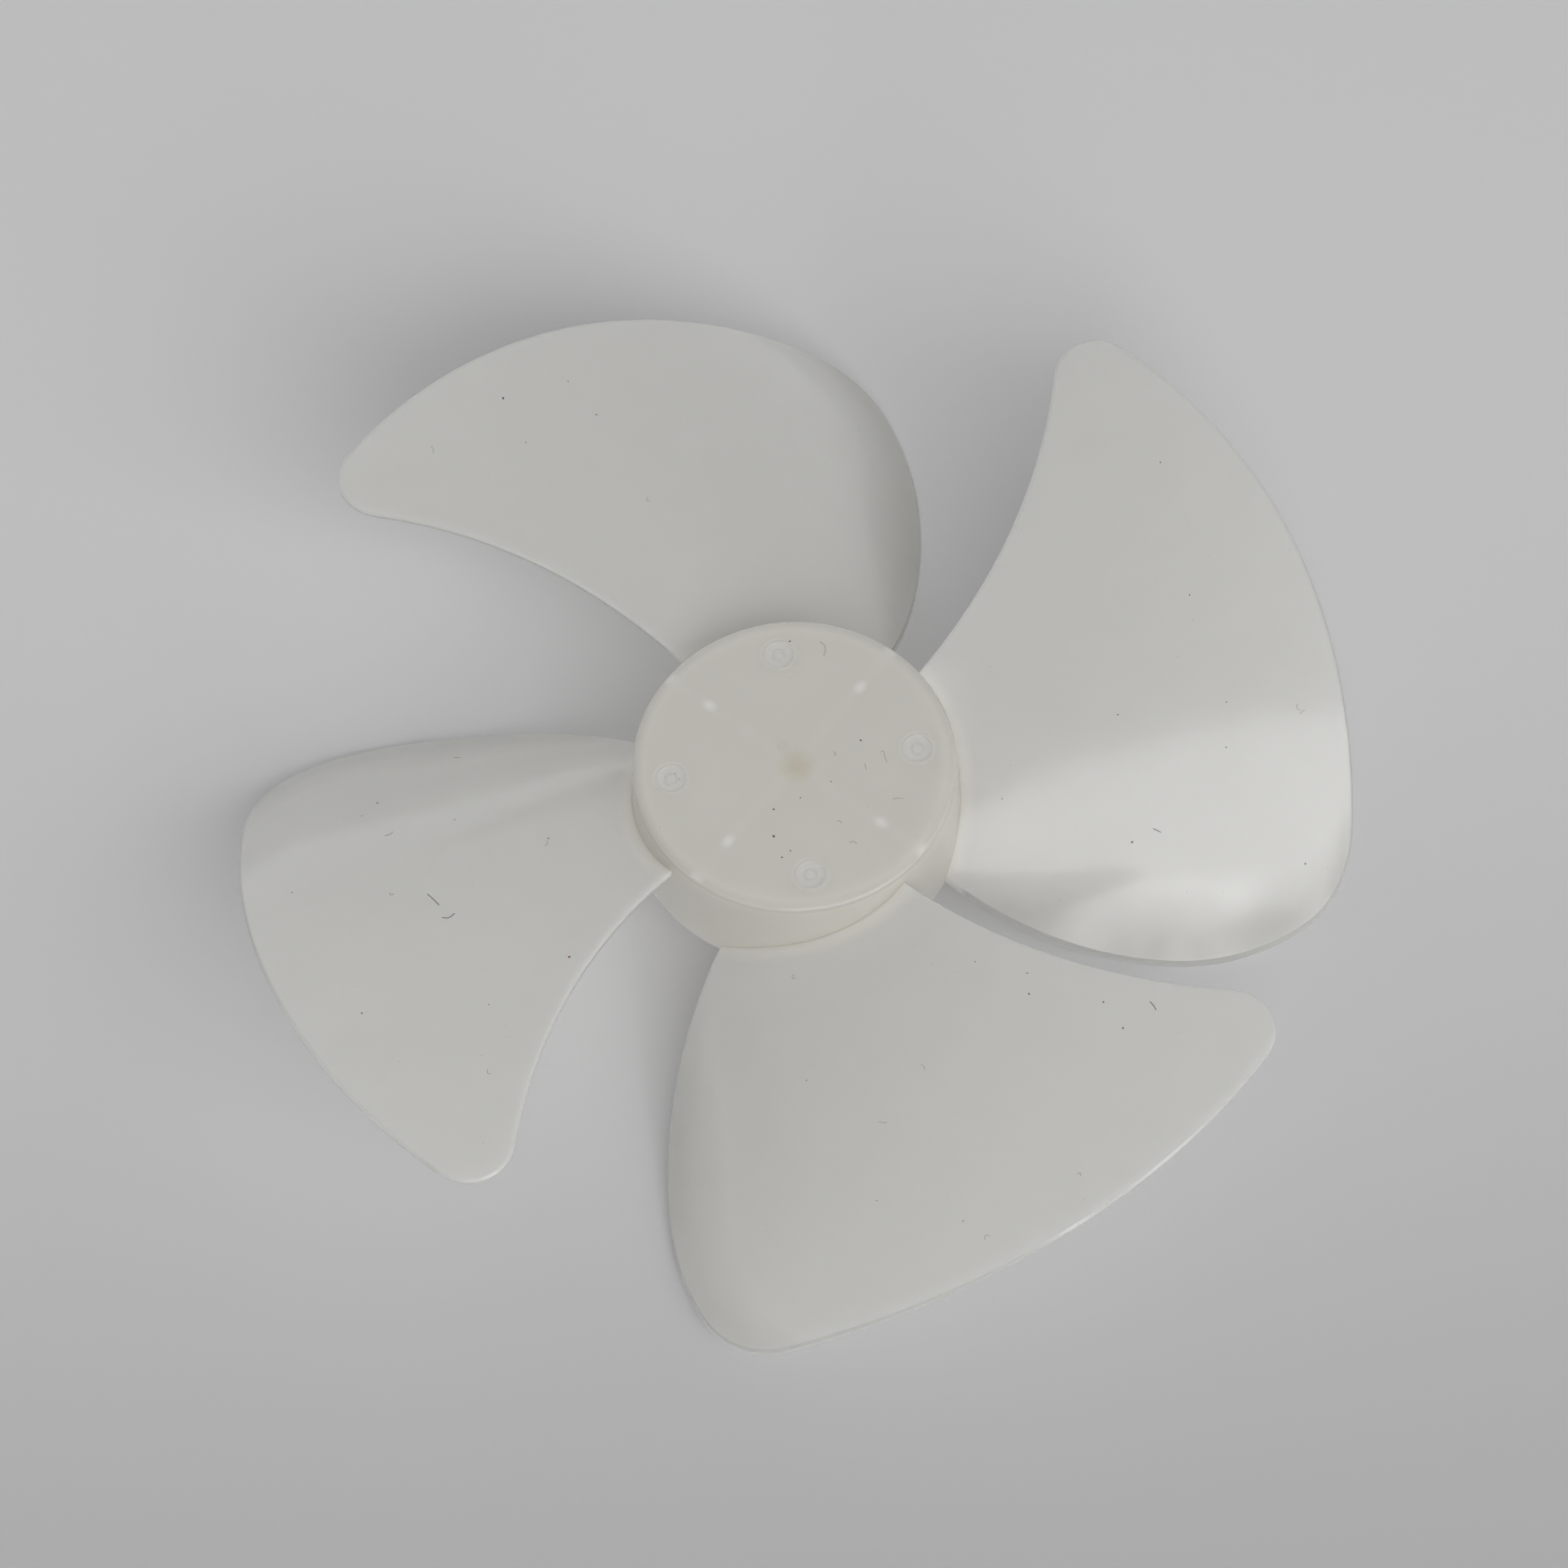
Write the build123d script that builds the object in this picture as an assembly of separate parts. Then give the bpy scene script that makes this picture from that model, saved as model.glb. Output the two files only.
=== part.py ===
from build123d import *
import os
from math import comb, cos, radians, sin, tan

import numpy as np

# Axial fan impeller: four swept blades on a cup-shaped hub, moulded in one piece.
# Millimetres and degrees. The shaft axis is Z, the hub opens downwards, and the origin is
# the centre of the hub's open end, where the motor shaft enters. The first blade's root is
# centred on +X. Seen from above, a blade's leading edge is its anticlockwise end.

# Hub cup
HUB_RADIUS = 21.4
HUB_HEIGHT = 15.2
HUB_DRAFT = 3.5
HUB_EDGE_RADIUS = 0.4
HUB_WALL = 1.6
HUB_FACE = 1.8

# Shaft boss and its blind bore
BORE_RADIUS = 1.6
BORE_END_WALL = 3.2
BOSS_WALL = 2.6

# Ribs under the face, each with a round ejector pad
RIB_COUNT = 4
RIB_THICKNESS = 1.2
RIB_HEIGHT = 7.0
PAD_RADIUS = 1.6
PAD_STEP = 0.6
PAD_INSET = 7.2

# Gate dimples in the face, one in line with each blade root
DIMPLE_RADIUS = 2.1
DIMPLE_DEPTH = 0.3
DIMPLE_BEVEL = 0.2
DIMPLE_INSET = 5.0
GATE_RADIUS = 0.85
GATE_HEIGHT = 0.15

# Blades
BLADE_COUNT = 4
TIP_RADIUS = 75.0
BLADE_THICKNESS = 1.1
BLADE_EDGE_BEVEL = 0.3
LEADING_TIP_RADIUS = 5.8
TRAILING_TIP_RADIUS = 14.0

# Blade sections at five even steps from the hub wall to the tip. Each runs from a trailing
# end, set by its angle and its height above the hub's open end, to a leading end, set by its
# angle and its rise above the hub's face. It bulges upwards between them by its camber, and
# more in its trailing half by its fullness.
TRAILING_ANGLES = [-34.3, -33.0, -28.3, -22.5, -12.5]
TRAILING_HEIGHTS = [0.6, -5.9, -10.9, -12.6, -9.2]
LEADING_ANGLES = [34.3, 38.5, 43.3, 48.5, 53.9]
LEADING_RISES = [-3.4, -0.5, 2.1, 4.1, 5.0]
CAMBERS = [0.2, 3.5, 6.3, 8.4, 9.8]
FULLNESSES = [1.2, 1.4, 1.7, 2.0, 2.3]

# How a blade is drawn: how far its untrimmed sheet runs past its outline, as a share of span
# and chord, and the steps of its surface and its outline
OVERRUN = 0.06
SURFACE_STEPS = 7
OUTLINE_STEPS = 6

CEILING = HUB_HEIGHT - HUB_FACE
UPRIGHT = (Align.CENTER, Align.CENTER, Align.MIN)


def along(values, share):
    """The polynomial through values that stand at even steps of a share from 0 to 1."""
    last = len(values) - 1
    total = 0.0
    for i, value in enumerate(values):
        weight = 1.0
        for j in range(last + 1):
            if j != i:
                weight *= (share * last - j) / (i - j)
        total += value * weight
    return total


def plan_point(angle, share):
    """A point in plan, share 0 on the hub and 1 on the tip circle."""
    radius = HUB_RADIUS + share * (TIP_RADIUS - HUB_RADIUS)
    return radius * cos(radians(angle)), radius * sin(radians(angle))


def blade_point(share, chord):
    """A point of the blade's middle surface, chord 0 at the trailing and 1 at the leading end."""
    angle = along(TRAILING_ANGLES, share) * (1 - chord) + along(LEADING_ANGLES, share) * chord
    low = along(TRAILING_HEIGHTS, share)
    high = HUB_HEIGHT + along(LEADING_RISES, share)
    bulge = along(CAMBERS, share) + along(FULLNESSES, share) * (1 - 2 * chord)
    x, y = plan_point(angle, share)
    return x, y, low * (1 - chord) + high * chord + 4 * chord * (1 - chord) * bulge


def blade_sheet():
    """One Bezier face through the blade's middle surface, a little larger than the blade."""
    n = SURFACE_STEPS
    steps = [i / n for i in range(n + 1)]
    places = [(1 + 2 * OVERRUN) * step - OVERRUN for step in steps]
    points = np.array([[blade_point(share, chord) for chord in places] for share in places])
    basis = np.array([[comb(n, i) * t**i * (1 - t) ** (n - i) for i in range(n + 1)] for t in steps])
    inverse = np.linalg.inv(basis)
    poles = np.einsum("ai,bj,ijk->abk", inverse, inverse, points)
    return Face.make_bezier_surface([[Vector(*pole) for pole in row] for row in poles])


def cup_radius(height):
    """Outside radius of the drafted hub wall at a height above the open end."""
    return HUB_RADIUS + (HUB_HEIGHT - height) * tan(radians(HUB_DRAFT))


def root_radius():
    """Radius of a blade's hidden inner end: halfway from the wall's inside at the open end to
    its outside at the face, so that it lies within the drafted wall at every height."""
    return (cup_radius(0) - HUB_WALL + HUB_RADIUS) / 2


def nearest_edge(shape, point):
    return shape.edges().sort_by_distance(point)[0]


def plan_edge(angles):
    """One side of the blade in plan, from inside the hub wall to past the tip circle."""
    first = (root_radius() - HUB_RADIUS) / (TIP_RADIUS - HUB_RADIUS)
    step = (1 + OVERRUN - first) / OUTLINE_STEPS
    shares = [first + i * step for i in range(OUTLINE_STEPS + 1)]
    return Edge.make_spline([plan_point(along(angles, share), share) for share in shares])


def blade_column():
    """Upright column with the blade's outline: swept leading edge, tip circle and trailing
    edge, and both tip corners rounded."""
    leading, trailing = plan_edge(LEADING_ANGLES), plan_edge(TRAILING_ANGLES)
    beyond = Vector(2 * TIP_RADIUS, 0)
    sides = [
        Edge.make_line(trailing @ 0, leading @ 0),
        leading,
        Edge.make_line(leading @ 1, beyond),
        Edge.make_line(beyond, trailing @ 1),
        trailing,
    ]
    ring = Circle(TIP_RADIUS) - Circle(root_radius())
    plan = ring & Face(Wire(sides))
    column = extrude(Pos(Z=-TIP_RADIUS) * plan, 2 * TIP_RADIUS, dir=(0, 0, 1))
    for angles, radius in ((LEADING_ANGLES, LEADING_TIP_RADIUS), (TRAILING_ANGLES, TRAILING_TIP_RADIUS)):
        column = fillet(nearest_edge(column, plan_point(angles[-1], 1)), radius)
    return column


def blade():
    """The sheet at its full thickness, cut to the blade's outline, with its free edges eased."""
    blank = thicken(blade_sheet(), BLADE_THICKNESS / 2, both=True) & blade_column()
    skins = blank.faces().filter_by(GeomType.OFFSET)
    middles = [(edge, edge @ 0.5) for edge in skins.edges()]
    free_edges = [edge for edge, middle in middles if Vector(middle.X, middle.Y).length > HUB_RADIUS]
    return chamfer(free_edges, min(BLADE_EDGE_BEVEL, 0.4 * BLADE_THICKNESS))


def cup():
    """Hub face, drafted wall and shaft boss with its blind bore, turned in one section."""
    boss_radius = BORE_RADIUS + BOSS_WALL
    bore_depth = HUB_HEIGHT - BORE_END_WALL
    shoulder = (HUB_RADIUS, HUB_HEIGHT)
    section = make_face(
        Polyline(
            (0, HUB_HEIGHT),
            shoulder,
            (cup_radius(0), 0),
            (cup_radius(0) - HUB_WALL, 0),
            (cup_radius(CEILING) - HUB_WALL, CEILING),
            (boss_radius, CEILING),
            (boss_radius, 0),
            (BORE_RADIUS, 0),
            (BORE_RADIUS, bore_depth),
            (0, bore_depth),
            close=True,
        )
    )
    section = fillet(section.vertices().sort_by_distance(shoulder)[0], HUB_EDGE_RADIUS)
    return revolve(Plane.XZ * section, Axis.Z)


def rib():
    """One rib along +X, from the boss into the hub wall, with its ejector pad."""
    inner, outer = BORE_RADIUS + BOSS_WALL / 2, HUB_RADIUS - HUB_WALL / 2
    buried = HUB_FACE / 2
    web = Box(outer - inner, RIB_THICKNESS, RIB_HEIGHT + buried, align=UPRIGHT)
    pad = Cylinder(PAD_RADIUS, RIB_HEIGHT + PAD_STEP + buried, align=UPRIGHT)
    return (
        Pos((inner + outer) / 2, 0, CEILING - RIB_HEIGHT) * web
        + Pos(HUB_RADIUS - PAD_INSET, 0, CEILING - RIB_HEIGHT - PAD_STEP) * pad
    )


def dimple():
    """The hollow of a gate dimple: a bevelled recess round the low stub of its gate."""
    stub = GATE_HEIGHT - DIMPLE_DEPTH
    section = Polyline(
        (0, stub),
        (GATE_RADIUS, stub),
        (GATE_RADIUS, -DIMPLE_DEPTH),
        (DIMPLE_RADIUS - DIMPLE_BEVEL, -DIMPLE_DEPTH),
        (DIMPLE_RADIUS, 0),
        (DIMPLE_RADIUS, DIMPLE_DEPTH),
        (0, DIMPLE_DEPTH),
        close=True,
    )
    hollow = revolve(Plane.XZ * make_face(section), Axis.Z)
    return Pos(HUB_RADIUS - DIMPLE_INSET, 0, HUB_HEIGHT) * hollow


def impeller():
    hub = Rot(Z=180 / BLADE_COUNT) * cup()
    hub += PolarLocations(0, RIB_COUNT, start_angle=180 / RIB_COUNT) * rib()
    hub -= PolarLocations(0, BLADE_COUNT) * dimple()
    return hub + PolarLocations(0, BLADE_COUNT) * blade()


os.makedirs("parts", exist_ok=True)
export_step(impeller(), "parts/impeller.step")
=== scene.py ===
from math import cos, pi, radians, sin
from random import Random

import bmesh
import bpy
from mathutils import Matrix, Quaternion, Vector


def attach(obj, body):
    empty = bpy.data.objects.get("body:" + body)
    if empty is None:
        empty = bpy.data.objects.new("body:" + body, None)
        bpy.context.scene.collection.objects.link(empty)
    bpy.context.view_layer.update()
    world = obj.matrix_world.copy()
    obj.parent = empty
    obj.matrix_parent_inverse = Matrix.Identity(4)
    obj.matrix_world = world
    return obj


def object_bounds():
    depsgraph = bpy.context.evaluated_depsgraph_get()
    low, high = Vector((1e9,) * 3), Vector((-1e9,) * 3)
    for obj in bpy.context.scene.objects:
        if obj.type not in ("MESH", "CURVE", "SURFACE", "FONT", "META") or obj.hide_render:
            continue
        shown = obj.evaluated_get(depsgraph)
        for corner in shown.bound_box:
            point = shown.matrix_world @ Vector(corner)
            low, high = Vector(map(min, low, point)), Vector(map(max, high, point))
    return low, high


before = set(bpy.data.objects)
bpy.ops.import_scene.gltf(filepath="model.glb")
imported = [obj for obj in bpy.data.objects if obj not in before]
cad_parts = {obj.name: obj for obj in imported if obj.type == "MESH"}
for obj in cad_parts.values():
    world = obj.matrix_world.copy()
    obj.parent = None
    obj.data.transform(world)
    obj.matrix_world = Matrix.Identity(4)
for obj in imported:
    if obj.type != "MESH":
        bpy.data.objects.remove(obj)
cad_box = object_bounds()
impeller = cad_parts["impeller"]

# Axial fan impeller on white paper: camera, light, plastic, gate marks and dust. Lengths are in
# metres and angles in degrees, except where a comment says otherwise.
MILLIMETRES = 1000    # in a metre

# Camera, as the photograph was taken, its lens and sensor in millimetres
LENS, SENSOR_WIDTH = 122.33, 36.0
AIM = (-0.00178, -0.00280, 0.0152)
VIEW_AZIMUTH, VIEW_ELEVATION, VIEW_ROLL = -5.09, 63.50, -2.527
VIEW_DISTANCE, VIEW_END = 0.7021, 50.0

# Floor: white paper, as grey as the photograph shows it at the front, middle and back of the view
FLOOR_SIZE, FLOOR_VIEW = 6.0, 0.26
# The camera's greys are painted shade: the even white paper is drawn darker towards the front
FLOOR_PAINTED_SHADE_GREYS = ((0.510, 0.510, 0.516), (0.805, 0.805, 0.815), (0.820, 0.820, 0.828))
FLOOR_BOUNCE = (0.84, 0.84, 0.84)
FLOOR_ROUGHNESS, FLOOR_SPECULAR = 0.8, 0.2

# Soft panels that face the object, each with its azimuth, elevation, roll, width and height: a
# long one at the front right, a narrow one below it, and a fill from behind on the left
PANEL_DISTANCE = 1.2
KEY = (24, 44, -40, 1.25, 0.66)
STRIP = (15, 23, 53, 0.40, 0.07)
FILL = (-150, 60, 0, 0.9, 0.9)

# Their power in watts. The key's is split: part of it casts shadows, part shines through things,
# as light does through the plastic, and part is only mirrored in the gloss
KEY_POWER, THROUGH_POWER, GLOSS_POWER = 6.5, 2.6, 4.0
STRIP_POWER, FILL_POWER = 0.7, 3.4

# Room: pale walls all round under a darker ceiling. All of it is seen and mirrored, and a share
# of it, SKY_LIT, lights things
SKY_ZENITH, SKY_HORIZON = 0.31, 0.80
SKY_LEFT, SKY_RIGHT = 0.82, 0.88
SKY_FRONT, SKY_BACK = 0.62, 1.5
SKY_LIT = 0.45

# The solid's own sizes: the hub's height, its radius at the top, how much wider its drafted wall
# gets downwards, its radius at the foot, and the tip circle
HUB_TOP, HUB_RADIUS, HUB_SLOPE = 0.0152, 0.0214, 0.0612
HUB_FOOT = HUB_RADIUS + HUB_TOP * HUB_SLOPE
TIP_RADIUS = 0.075

# Colours of the plastic, painted light and shade, with the radii and heights between which each
# one comes in. A slope is 1 where the surface is level and 0 where it is upright. CUP_RADII tell the
# cup from the blades, by where a place would lie once moved down along the wall to the foot
# Painted light and shade on one plastic: the hub painted lighter and warmer, the blades darker and greyer
HUB_PAINTED_LIGHT_COLOR = (0.768, 0.747, 0.687)
BLADE_PAINTED_SHADE_COLOR, BLADE_RADII = (0.648, 0.642, 0.617), (0.0220, 0.0245)
# Painted shade at the blades' tip arcs, to dim the bright line where light catches the edge
ARC_PAINTED_SHADE_COLOR, ARC_RADII = (0.598, 0.593, 0.574), (TIP_RADIUS - 0.0007, TIP_RADIUS - 0.0002)
# Painted shade on the blades' steep edges and side faces, to dim the light they catch
EDGE_PAINTED_SHADE_COLOR, EDGE_RADII, EDGE_SLOPES = (0.470, 0.466, 0.448), (0.0245, 0.0255), (0.755, 0.64)
CUP_RADII = (HUB_FOOT + 0.00015, HUB_FOOT + 0.00005)
# Painted shade on the hub's upright wall
WALL_PAINTED_SHADE_COLOR, WALL_HEIGHTS = (0.705, 0.681, 0.624), (HUB_TOP - 0.0001, HUB_TOP - 0.0005)
# Painted shade round the hub's rim, to dim the highlight on its rounding
RIM_PAINTED_SHADE_COLOR, RIM_HEIGHTS = (0.610, 0.590, 0.543), (HUB_TOP - 0.0012, HUB_TOP - 0.0006)
RIM_RADII = (0.0200, 0.0213)

# Finish of the plastic: its faint mottling, its roughness and its fine bump, each with the number
# of waves to the metre, and how deep light goes into it
MOTTLE, MOTTLE_WAVES, MOTTLE_DETAIL = (0.98, 1.02), 160, 4
ROUGHNESS, ROUGHNESS_WAVES = (0.13, 0.18), 90
PEEL_HEIGHT, PEEL_STRENGTH, PEEL_WAVES = 0.00001, 0.25, 900
PLASTIC_IOR, PLASTIC_SPECULAR, PLASTIC_DEPTH = 1.49, 0.42, 0.005

# Painted light and shade for what shows through the hub's face: the ribs and their pale ejector
# pads, painted light, and the shaft's end, painted as the shade in its bore. A pad would be round if
# its two scales, along its rib and across it, were both 0.707
FACE_HEIGHTS, FACE_RADII = (HUB_TOP - 0.0006, HUB_TOP - 0.0004), (HUB_RADIUS, HUB_RADIUS - 0.0004)
# Painted light: paler lines over the ribs and paler spots over their ejector pads
RIB_PAINTED_LIGHT_COLOR, RIB_SPREAD = (0.779, 0.758, 0.699), (0.0004, 0.0020)
PAD_PAINTED_LIGHT_COLOR, PAD_SPREAD = (0.915, 0.899, 0.852), (0.0001, 0.0013)
PAD_PLACE, PAD_ALONG, PAD_ACROSS = 0.0101, 0.6, 0.85
# Painted shade: the brown dark of the shaft's bore seen through the face
SHAFT_PAINTED_SHADE_COLOR, SHAFT_SPREAD = (0.699, 0.660, 0.567), (0.0004, 0.0031)
SHAFT_PLACE, SHAFT_RAGGED, SHAFT_WAVES = (0.0003, -0.0004), 0.0016, 700

# Gate marks: the dimple, painted pale, painted light against the shade in its recess, and a ring
# round it and round the stub of its gate, each with its radius, half its width and its height. The
# sink ring has its place in plan, radius and half width
GATE_PLACE = 0.0164
# Painted light: the dimple is drawn pale against the shade in its recess
GATE_PAINTED_LIGHT_COLOR, GATE_SPREAD = (0.965, 0.940, 0.868), (0.0020, 0.0026)
GATE_RINGS = ((0.00208, 0.00022, 0.01518), (0.00080, 0.00014, 0.01505))
SINK_RING = (-0.0012, 0.0027, 0.00060, 0.00010)
GATE_STEPS, SINK_STEPS, RING_SIDES, RING_FLATNESS = 48, 32, 12, 0.18

# Plain materials: the two colours that each wavers between, its waves to the metre, its roughness
LOOKS = {
    "gate_plastic": ((0.715, 0.700, 0.655), (0.7436, 0.7280, 0.6812), 400, (0.10, 0.20)),
    "dust": ((0.05, 0.045, 0.04), (0.10, 0.09, 0.08), 3000, (0.8, 0.95)),
    "lint": ((0.24, 0.22, 0.19), (0.38, 0.35, 0.31), 1500, (0.8, 0.95)),
    "rust": ((0.16, 0.05, 0.03), (0.28, 0.10, 0.06), 3000, (0.8, 0.95)),
    "fine_dust": ((0.16, 0.145, 0.13), (0.30, 0.28, 0.25), 3000, (0.8, 0.95)),
}
CLOUD_SPREAD = (0.3, 0.7)    # where most of the soft noise lies

# Dust and lint, where the photograph shows them: specks as x, y and radius, and the points of
# each fibre in plan, all in millimetres
SPECKS = (
    (1.7, 18.2, 0.20), (9.1, 2.2, 0.20), (-4.1, -10.2, 0.26), (-3.6, -6.3, 0.20), (-2.2, -12.6, 0.16),
    (-3.4, -13.4, 0.18), (4.4, -3.3, 0.14), (0.1, -5.1, 0.14), (-32.3, 59.6, 0.26), (-19.9, 57.1, 0.16),
    (54.6, 36.7, 0.16), (55.8, 18.4, 0.16), (25.6, -37.6, 0.20), (36.6, -45.0, 0.20), (-60.0, -28.8, 0.20),
    (-55.8, 8.9, 0.22), (-33.5, -3.5, 0.18), (44.0, 4.2, 0.16), (58.0, -0.9, 0.16), (58.8, 4.5, 0.13),
    (27.2, -4.3, 0.14), (43.9, -10.8, 0.22), (67.1, -14.5, 0.18), (34.7, -40.9, 0.18), (25.8, -34.7, 0.16),
    (19.5, -31.4, 0.14), (-4.0, -41.2, 0.14), (13.0, -65.8, 0.14), (2.7, -59.9, 0.14), (-30.0, 52.5, 0.14),
    (-23.2, 62.4, 0.14), (-67.9, -6.5, 0.16), (-45.6, 2.5, 0.16), (-43.6, -30.0, 0.14),
)
RUST_SPECKS = ((-32.6, -24.1, 0.26), (-58.0, 6.6, 0.16))
LINT = (
    ((5.7, 17.6), (6.3, 17.0), (6.3, 16.2), (5.9, 15.4)),
    ((11.5, 0.1), (11.9, 0.3), (11.9, -0.7), (12.1, -1.5)),
    ((-15.9, 1.0), (-15.6, 0.5), (-15.3, -0.3)),
    ((12.1, -7.0), (12.8, -6.9), (13.5, -7.1)),
)
HAIRS = (
    ((40.5, -42.1), (40.9, -42.7), (41.1, -43.4)),
    ((-50.1, -10.6), (-49.4, -11.6), (-48.7, -12.8)),
    ((-48.5, -15.0), (-47.6, -15.3), (-46.8, -14.6)),
    ((46.9, -9.5), (47.9, -10.0)),
)
LINT_RADIUS, HAIR_RADIUS = 0.035, 0.05

# Shape of a speck along its three axes, and the turn in radians from one speck to the next. Steps
# between two points of a fibre, how often it is smoothed, and how high its middle lies in radii
SPECK_SHAPE, SPECK_TURN = (0.75, 0.55, 0.3), 2.4
FIBRE_STEPS, FIBRE_SMOOTHING, FIBRE_LIFT, FIBRE_SIDES = 4, 3, 0.8, 6

# Finer dust, strewn at random: how much of it, its greatest radius and length in millimetres, the
# least share of those, and a fibre's bits and its greatest bend at each in radians
FINE_SPECKS, FINE_LINT, FINE_SEED = 110, 26, 11
FINE_RADIUS, LEAST_RADIUS = 0.09, 0.6
FINE_LENGTH, LEAST_LENGTH, FINE_BITS, FINE_BEND = 1.5, 0.4, 3, 1.5

# Where it is strewn: within this reach of both axes, and where the surface is tried this far out
# and rises by less than so many times as much. The tries come from a height above the impeller
STREWN_REACH, SPECK_ROOM, LINT_ROOM, STEEPEST = 0.073, 0.001, 0.002, 2
RAY_HEIGHT = 0.1


# Camera and lamps

def direction(azimuth, elevation):
    """Unit vector from the object; azimuth 0 is towards -Y and grows towards +X."""
    a, e = radians(azimuth), radians(elevation)
    return Vector((sin(a) * cos(e), -cos(a) * cos(e), sin(e)))


def add_facing(thing, location, towards, roll):
    """Adds a camera or a lamp that faces back along the direction in which it lies, rolled."""
    thing.location = location
    thing.rotation_mode = "QUATERNION"
    thing.rotation_quaternion = towards.to_track_quat("Z", "Y") @ Quaternion((0, 0, 1), radians(roll))
    bpy.context.scene.collection.objects.link(thing)


def add_camera():
    camera = bpy.data.objects.new("camera", bpy.data.cameras.new("camera"))
    camera.data.lens = LENS
    camera.data.sensor_width = SENSOR_WIDTH
    camera.data.clip_end = VIEW_END
    towards = direction(VIEW_AZIMUTH, VIEW_ELEVATION)
    add_facing(camera, Vector(AIM) + towards * VIEW_DISTANCE, towards, VIEW_ROLL)
    bpy.context.scene.camera = camera


def add_panel(name, panel, power, shadow=True, lit=True, mirrored=True):
    """A soft panel. It can shine through things without a shadow, and it can only light them or
    only be mirrored in them."""
    azimuth, elevation, roll, width, height = panel
    light = bpy.data.lights.new(name, "AREA")
    light.shape = "RECTANGLE"
    light.size, light.size_y = width, height
    light.energy = power
    light.use_shadow = shadow
    lamp = bpy.data.objects.new(name, light)
    lamp.visible_diffuse, lamp.visible_glossy = lit, mirrored
    towards = direction(azimuth, elevation)
    add_facing(lamp, towards * PANEL_DISTANCE, towards, roll)


# Nodes of a shader

def new_material(name):
    material = bpy.data.materials.new(name)
    material.use_nodes = True
    return material, material.node_tree.nodes["Principled BSDF"]


def coordinate(tree, kind):
    return tree.nodes.new("ShaderNodeTexCoord").outputs[kind]


def split(tree, vector):
    """The X, Y and Z of a vector."""
    node = tree.nodes.new("ShaderNodeSeparateXYZ")
    tree.links.new(vector, node.inputs[0])
    return node.outputs


def calc(tree, operation, first, second=0):
    """A math node on one or two inputs, each a socket or a number; returns its result."""
    node = tree.nodes.new("ShaderNodeMath")
    node.operation = operation
    for socket, value in zip(node.inputs, (first, second)):
        if isinstance(value, (int, float)):
            socket.default_value = value
        else:
            tree.links.new(value, socket)
    return node.outputs[0]


def add(tree, *values):
    total = values[0]
    for value in values[1:]:
        total = calc(tree, "ADD", total, value)
    return total


def times(tree, *values):
    product = values[0]
    for value in values[1:]:
        product = calc(tree, "MULTIPLY", product, value)
    return product


def distance(tree, x, y, place):
    """How far the point x, y lies from a place in plan."""
    across, along = calc(tree, "SUBTRACT", x, place[0]), calc(tree, "SUBTRACT", y, place[1])
    return calc(tree, "SQRT", add(tree, times(tree, across, across), times(tree, along, along)))


def ramp(tree, value, start, end, low=0, high=1, smooth=False):
    """Turns a value that runs from start to end into one from low to high."""
    node = tree.nodes.new("ShaderNodeMapRange")
    node.interpolation_type = "SMOOTHSTEP" if smooth else "LINEAR"
    for name, number in (("From Min", start), ("From Max", end), ("To Min", low), ("To Max", high)):
        node.inputs[name].default_value = number
    tree.links.new(value, node.inputs["Value"])
    return node.outputs["Result"]


def cloud(tree, where, waves, detail=2):
    """Soft noise round 0.5, with so many waves to the metre."""
    noise = tree.nodes.new("ShaderNodeTexNoise")
    noise.inputs["Scale"].default_value = waves
    noise.inputs["Detail"].default_value = detail
    tree.links.new(where, noise.inputs["Vector"])
    return noise.outputs["Fac"]


def tint(tree, color, amount, other):
    """The colour, turned into another one where the amount is 1."""
    node = tree.nodes.new("ShaderNodeMixRGB")
    tree.links.new(amount, node.inputs["Fac"])
    for socket, value in ((node.inputs["Color1"], color), (node.inputs["Color2"], other)):
        if isinstance(value, tuple):
            socket.default_value = (*value, 1)
        else:
            tree.links.new(value, socket)
    return node.outputs["Color"]


# Floor, room and materials

def add_floor(height):
    """The camera sees the greys of the photograph, and other rays meet even white paper."""
    bpy.ops.mesh.primitive_plane_add(size=FLOOR_SIZE, location=(0, 0, height))
    floor = bpy.context.object
    floor.name = "floor"
    material, shader = new_material("floor")
    tree = material.node_tree
    shade = tree.nodes.new("ShaderNodeValToRGB")
    shade.color_ramp.interpolation = "B_SPLINE"
    shade.color_ramp.elements.new(0.5)
    for element, grey in zip(shade.color_ramp.elements, FLOOR_PAINTED_SHADE_GREYS):
        element.color = (*grey, 1)
    # Painted shade: for the camera the paper grows darker towards the front of the view
    along = split(tree, coordinate(tree, "Object"))["Y"]
    tree.links.new(ramp(tree, along, -FLOOR_VIEW / 2, FLOOR_VIEW / 2), shade.inputs["Fac"])
    seen = tree.nodes.new("ShaderNodeLightPath").outputs["Is Camera Ray"]
    tree.links.new(tint(tree, FLOOR_BOUNCE, seen, shade.outputs["Color"]), shader.inputs["Base Color"])
    shader.inputs["Roughness"].default_value = FLOOR_ROUGHNESS
    shader.inputs["Specular IOR Level"].default_value = FLOOR_SPECULAR
    floor.data.materials.append(material)


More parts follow.
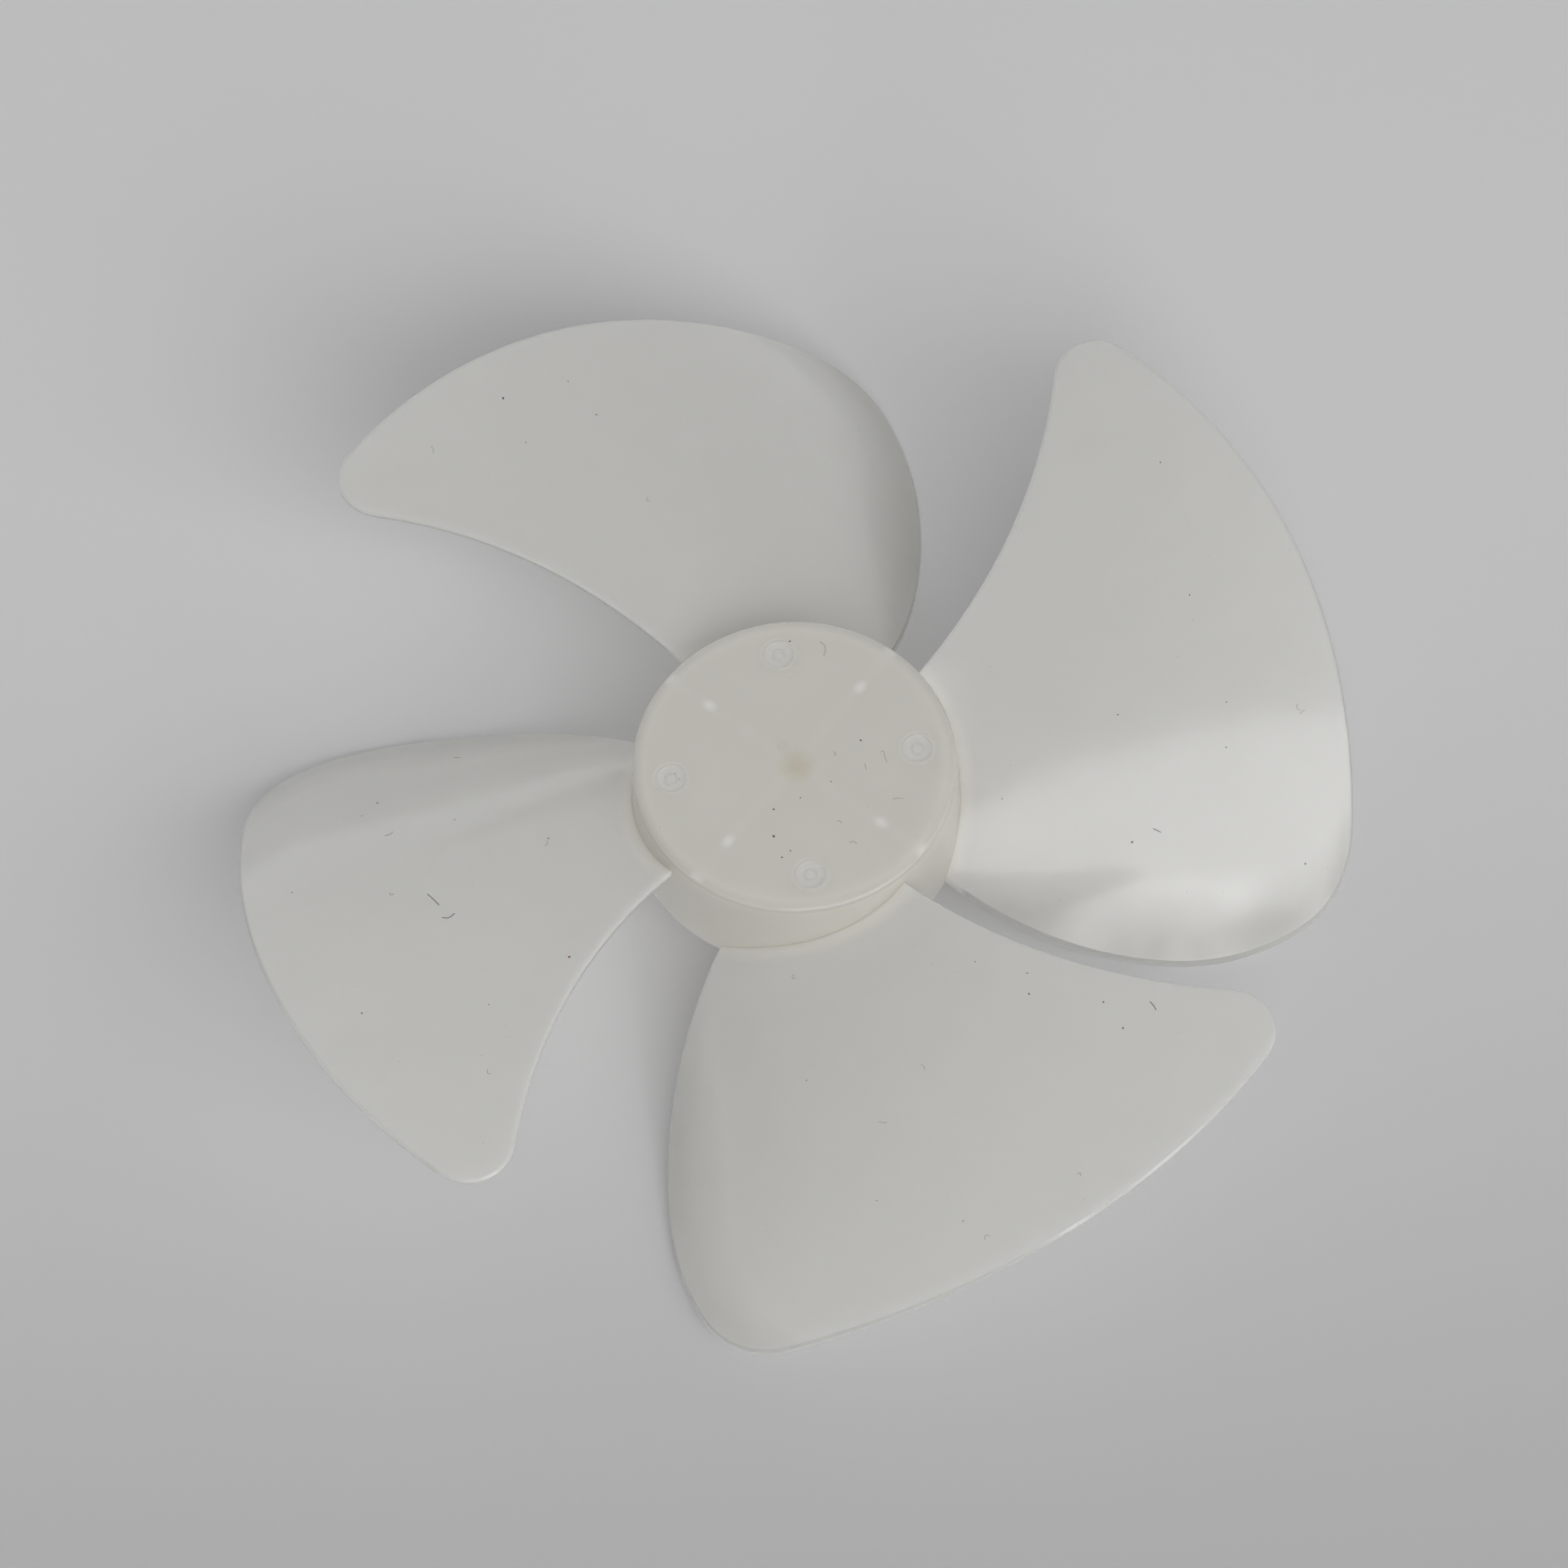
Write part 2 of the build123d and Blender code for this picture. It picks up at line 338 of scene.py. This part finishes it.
def add_sky():
    """A room: pale walls near the horizon, more so behind and to the right, and a darker ceiling."""
    world = bpy.data.worlds.new("world")
    world.use_nodes = True
    tree = world.node_tree
    x, y, z = split(tree, coordinate(tree, "Generated"))
    low = ramp(tree, z, 0, 1, 1, 0)
    sideways = ramp(tree, x, -1, 1, SKY_LEFT, SKY_RIGHT)
    backwards = ramp(tree, y, -1, 1, SKY_FRONT, SKY_BACK)
    walls = times(tree, low, low, SKY_HORIZON, sideways, backwards)
    path = tree.nodes.new("ShaderNodeLightPath")
    mirrored = calc(tree, "MAXIMUM", path.outputs["Is Camera Ray"], path.outputs["Is Glossy Ray"])
    strength = times(tree, add(tree, walls, SKY_ZENITH), ramp(tree, mirrored, 0, 1, SKY_LIT, 1))
    background = tree.nodes["Background"]
    background.inputs["Color"].default_value = (1, 1, 1, 1)
    tree.links.new(strength, background.inputs["Strength"])
    bpy.context.scene.world = world


def body_painted_light_and_shade(tree, z, radius):
    """Painted light and shade of the body: the hub lighter and warmer, the blades greyer and darker,
    and painted shade at the blades' tips and edges, on the hub's wall and round its rim."""
    # Painted light and shade: the hub lighter and warmer, the blades darker and greyer
    color = tint(tree, HUB_PAINTED_LIGHT_COLOR, ramp(tree, radius, *BLADE_RADII, smooth=True), BLADE_PAINTED_SHADE_COLOR)
    # Painted shade along the blades' tip arcs
    color = tint(tree, color, ramp(tree, radius, *ARC_RADII), ARC_PAINTED_SHADE_COLOR)
    # Painted shade on the blades' steep edges, picked out by the slope of the surface
    slope = calc(tree, "ABSOLUTE", split(tree, coordinate(tree, "Normal"))["Z"])
    edge = times(tree, ramp(tree, slope, *EDGE_SLOPES), ramp(tree, radius, *EDGE_RADII))
    color = tint(tree, color, edge, EDGE_PAINTED_SHADE_COLOR)
    # Painted shade on the hub's wall, and below, round its rim
    cup = ramp(tree, add(tree, radius, times(tree, z, HUB_SLOPE)), *CUP_RADII)
    color = tint(tree, color, times(tree, cup, ramp(tree, z, *WALL_HEIGHTS)), WALL_PAINTED_SHADE_COLOR)
    # Painted shade that dims the rim's highlight
    rim = times(tree, cup, ramp(tree, z, *RIM_HEIGHTS), ramp(tree, radius, *RIM_RADII))
    return tint(tree, color, rim, RIM_PAINTED_SHADE_COLOR)


def face_marks_and_painted_light(tree, color, where, radius):
    """The colour with painted light and shade on the hub's face: paler over the ribs, their pads and
    the gate dimples, and darker over the shaft's bore. They repeat every quarter turn, so each one but
    the shaft's is placed by how far it lies from the farther and from the nearer axis in plan."""
    x, y, z = split(tree, where)
    across, along = calc(tree, "ABSOLUTE", x), calc(tree, "ABSOLUTE", y)
    large, small = calc(tree, "MAXIMUM", across, along), calc(tree, "MINIMUM", across, along)
    beside = calc(tree, "SUBTRACT", large, small)
    # Painted light over the ribs and, below, over their ejector pads
    rib = ramp(tree, beside, *RIB_SPREAD, 1, 0, smooth=True)
    outward = times(tree, add(tree, large, small, -2 * PAD_PLACE), PAD_ALONG)
    pad = distance(tree, outward, times(tree, beside, PAD_ACROSS), (0, 0))
    pad = ramp(tree, pad, *PAD_SPREAD, 1, 0, smooth=True)
    # Painted light: the gate dimples drawn pale against the shade in their recesses
    gate = ramp(tree, distance(tree, large, small, (GATE_PLACE, 0)), *GATE_SPREAD, 1, 0)
    # Painted shade of the shaft's bore, with a ragged edge
    ragged = times(tree, calc(tree, "SUBTRACT", cloud(tree, where, SHAFT_WAVES), 0.5), SHAFT_RAGGED)
    shaft = add(tree, distance(tree, x, y, SHAFT_PLACE), ragged)
    shaft = ramp(tree, shaft, *SHAFT_SPREAD, 1, 0, smooth=True)
    face = times(tree, ramp(tree, z, *FACE_HEIGHTS), ramp(tree, radius, *FACE_RADII))
    for mark, other in ((rib, RIB_PAINTED_LIGHT_COLOR), (pad, PAD_PAINTED_LIGHT_COLOR), (gate, GATE_PAINTED_LIGHT_COLOR), (shaft, SHAFT_PAINTED_SHADE_COLOR)):
        color = tint(tree, color, times(tree, mark, face), other)
    return color


def plastic():
    """Natural polypropylene: milky and glossy, with painted light and shade in its colour: warmer
    and lighter in the thick hub, paler over what lies below, and darker at edges, tips, wall and rim.
    """
    material, shader = new_material("natural_polypropylene")
    tree = material.node_tree
    where = coordinate(tree, "Object")
    x, y, z = split(tree, where)
    radius = distance(tree, x, y, (0, 0))
    color = face_marks_and_painted_light(tree, body_painted_light_and_shade(tree, z, radius), where, radius)
    mottle = ramp(tree, cloud(tree, where, MOTTLE_WAVES, MOTTLE_DETAIL), 0, 1, *MOTTLE)
    shade = tree.nodes.new("ShaderNodeVectorMath")
    shade.operation = "SCALE"
    tree.links.new(color, shade.inputs[0])
    tree.links.new(mottle, shade.inputs["Scale"])
    tree.links.new(shade.outputs[0], shader.inputs["Base Color"])

    roughness = ramp(tree, cloud(tree, where, ROUGHNESS_WAVES), *CLOUD_SPREAD, *ROUGHNESS)
    tree.links.new(roughness, shader.inputs["Roughness"])
    peel = tree.nodes.new("ShaderNodeBump")
    peel.inputs["Strength"].default_value = PEEL_STRENGTH
    peel.inputs["Distance"].default_value = PEEL_HEIGHT
    tree.links.new(cloud(tree, where, PEEL_WAVES), peel.inputs["Height"])
    tree.links.new(peel.outputs[0], shader.inputs["Normal"])
    shader.inputs["IOR"].default_value = PLASTIC_IOR
    shader.inputs["Specular IOR Level"].default_value = PLASTIC_SPECULAR
    shader.inputs["Subsurface Weight"].default_value = 1.0
    shader.inputs["Subsurface Radius"].default_value = (1.0, 1.0, 1.0)
    shader.inputs["Subsurface Scale"].default_value = PLASTIC_DEPTH
    return material


def speckled(name, color, other, waves, roughness):
    """A plain surface that wavers between two colours."""
    material, shader = new_material(name)
    tree = material.node_tree
    where = coordinate(tree, "Object")
    tree.links.new(tint(tree, color, cloud(tree, where, waves), other), shader.inputs["Base Color"])
    uneven = ramp(tree, cloud(tree, where, 2 * waves), *CLOUD_SPREAD, *roughness)
    tree.links.new(uneven, shader.inputs["Roughness"])
    return material


# Pieces that ride on the impeller

def piece(name, mesh, material):
    """A new piece of the impeller's body from a bmesh."""
    data = bpy.data.meshes.new(name)
    mesh.to_mesh(data)
    mesh.free()
    data.materials.append(material)
    data.shade_smooth()
    thing = bpy.data.objects.new(name, data)
    bpy.context.scene.collection.objects.link(thing)
    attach(thing, "root")


def sweep(mesh, path, radius, sides, closed=False, flatness=1.0):
    """Adds a tube along a path of points, closed to a ring or capped at its ends. Its sections
    stand upright, and their height is squeezed by the flatness."""
    rings = []
    count = len(path)
    upwards = Vector((0, 0, flatness))
    turns = [2 * pi * side / sides for side in range(sides)]
    for i, point in enumerate(path):
        before = path[i - 1] if closed or i else path[0]
        after = path[(i + 1) % count] if closed or i < count - 1 else path[-1]
        across = (after - before).normalized().cross(Vector((0, 0, 1))).normalized()
        corners = [point + radius * (across * cos(turn) + upwards * sin(turn)) for turn in turns]
        rings.append([mesh.verts.new(corner) for corner in corners])
    for i in range(count if closed else count - 1):
        one, two = rings[i], rings[(i + 1) % count]
        for side in range(sides):
            after = (side + 1) % sides
            mesh.faces.new((one[side], one[after], two[after], two[side]))
    if not closed:
        mesh.faces.new(list(reversed(rings[0])))
        mesh.faces.new(rings[-1])


def sweep_circle(mesh, middle, radius, thickness, steps):
    turns = [2 * pi * i / steps for i in range(steps)]
    circle = [middle + radius * Vector((cos(turn), sin(turn), 0)) for turn in turns]
    sweep(mesh, circle, thickness, RING_SIDES, closed=True, flatness=RING_FLATNESS)


def add_gate_rings(material):
    mesh = bmesh.new()
    for quarter in range(4):
        turn = quarter * pi / 2
        for radius, thickness, height in GATE_RINGS:
            middle = Vector((GATE_PLACE * cos(turn), GATE_PLACE * sin(turn), height))
            sweep_circle(mesh, middle, radius, thickness, GATE_STEPS)
    x, y, radius, thickness = SINK_RING
    sweep_circle(mesh, Vector((x, y, HUB_TOP)), radius, thickness, SINK_STEPS)
    bmesh.ops.recalc_face_normals(mesh, faces=mesh.faces)
    piece("gate_rings", mesh, material)


def surface(x, y):
    """The impeller's upper side at a place in plan, as a point and a normal. Beside the impeller
    there is none, and both are zero."""
    _, point, normal, _ = impeller.ray_cast(Vector((x, y, RAY_HEIGHT)), Vector((0, 0, -1)))
    return point, normal


def add_specks(name, specks, material):
    mesh = bmesh.new()
    for number, (x, y, size) in enumerate(specks):
        point, normal = surface(x / MILLIMETRES, y / MILLIMETRES)
        lie = normal.to_track_quat("Z", "Y").to_matrix().to_4x4()
        spin = Matrix.Rotation(number * SPECK_TURN, 4, "Z")
        shape = Matrix.Diagonal((*(share * size / MILLIMETRES for share in SPECK_SHAPE), 1))
        place = Matrix.Translation(point) @ lie @ spin @ shape
        bmesh.ops.create_icosphere(mesh, subdivisions=2, radius=1, matrix=place)
    piece(name, mesh, material)


def add_fibres(name, fibres, radius, material):
    radius /= MILLIMETRES
    lift = Vector((0, 0, FIBRE_LIFT * radius))
    mesh = bmesh.new()
    for fibre in fibres:
        points = [Vector((x, y)) / MILLIMETRES for x, y in fibre]
        path = []
        for start, end in zip(points, points[1:]):
            path.extend(start.lerp(end, step / FIBRE_STEPS) for step in range(FIBRE_STEPS))
        path.append(points[-1])
        for _ in range(FIBRE_SMOOTHING):
            inner = [(a + 2 * b + c) / 4 for a, b, c in zip(path, path[1:], path[2:])]
            path = [path[0], *inner, path[-1]]
        sweep(mesh, [surface(*point)[0] + lift for point in path], radius, FIBRE_SIDES)
    bmesh.ops.recalc_face_normals(mesh, faces=mesh.faces)
    piece(name, mesh, material)


def strewn(count, room, chance):
    """Random places in plan, in millimetres, where the upper side is level enough for dust. A
    place beside the impeller counts as level, and its dust lies hidden at the origin, in the bore."""
    places = []
    while len(places) < count:
        x, y = (chance.uniform(-STREWN_REACH, STREWN_REACH) for _ in range(2))
        shifts = ((0, 0), (room, 0), (-room, 0), (0, room), (0, -room))
        heights = [surface(x + across, y + along)[0].z for across, along in shifts]
        if max(heights) - min(heights) < STEEPEST * room:
            places.append((MILLIMETRES * x, MILLIMETRES * y))
    return places


def fine_fibre(x, y, chance):
    """A short fibre from this place on, of bits that bend one way."""
    turn, bend = chance.uniform(0, 2 * pi), chance.uniform(-FINE_BEND, FINE_BEND)
    fibre = [(x, y)]
    for _ in range(FINE_BITS):
        length = FINE_LENGTH / FINE_BITS * chance.uniform(LEAST_LENGTH, 1)
        x, y = x + length * cos(turn), y + length * sin(turn)
        turn += bend
        fibre.append((x, y))
    return fibre


def add_fine_dust(dust, lint):
    chance = Random(FINE_SEED)
    places = strewn(FINE_SPECKS, SPECK_ROOM, chance)
    specks = [(x, y, FINE_RADIUS * chance.uniform(LEAST_RADIUS, 1)) for x, y in places]
    add_specks("fine_specks", specks, dust)
    places = strewn(FINE_LINT, LINT_ROOM, chance)
    add_fibres("fine_lint", [fine_fibre(x, y, chance) for x, y in places], LINT_RADIUS, lint)


# The scene

add_camera()
add_floor(cad_box[0][2])
add_panel("key", KEY, KEY_POWER)
add_panel("through", KEY, THROUGH_POWER, shadow=False)
add_panel("gloss", KEY, GLOSS_POWER, shadow=False, lit=False)
add_panel("fill", FILL, FILL_POWER, shadow=False, mirrored=False)
add_panel("strip", STRIP, STRIP_POWER)
add_sky()
impeller.data.materials.clear()
impeller.data.materials.append(plastic())
materials = {name: speckled(name, *look) for name, look in LOOKS.items()}
add_gate_rings(materials["gate_plastic"])
add_specks("specks", SPECKS, materials["dust"])
add_specks("rust_specks", RUST_SPECKS, materials["rust"])
add_fibres("lint", LINT, LINT_RADIUS, materials["lint"])
add_fibres("hairs", HAIRS, HAIR_RADIUS, materials["dust"])
add_fine_dust(materials["fine_dust"], materials["lint"])
bpy.context.scene.view_settings.view_transform = "Standard"
